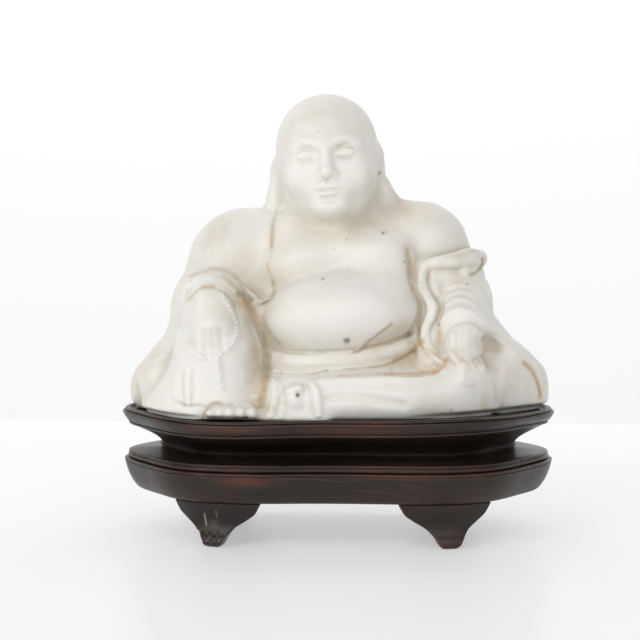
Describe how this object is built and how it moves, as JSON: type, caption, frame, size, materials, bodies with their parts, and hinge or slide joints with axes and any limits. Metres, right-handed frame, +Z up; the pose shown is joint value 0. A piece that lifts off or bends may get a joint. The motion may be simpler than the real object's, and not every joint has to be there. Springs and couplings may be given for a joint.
{
  "type": "seated figure on stand",
  "caption": "Seated figure of a laughing monk (budai) carved from one block of white marble, resting in the recess of a low oval carved hardwood stand with bracket feet.",
  "frame": {"origin": "middle of the stand's footprint, on the surface that its feet stand on", "axes": "+X to the viewer's right as the figure is seen from its front, -Y out of its front, +Z up"},
  "size_m": [0.1998, 0.1252, 0.2012],
  "materials": {
    "marble": "honed white marble, satin, with rust-brown stains in the creases",
    "hardwood": "dark stained and waxed hardwood, satin, worn to red-brown on the edges"
  },
  "bodies": {
    "root": {"figure": "marble", "stand_top": "hardwood", "stand_apron": "hardwood", "foot_front_left": "hardwood", "foot_front_right": "hardwood", "foot_back_left": "hardwood", "foot_back_right": "hardwood"}
  },
  "joints": []
}
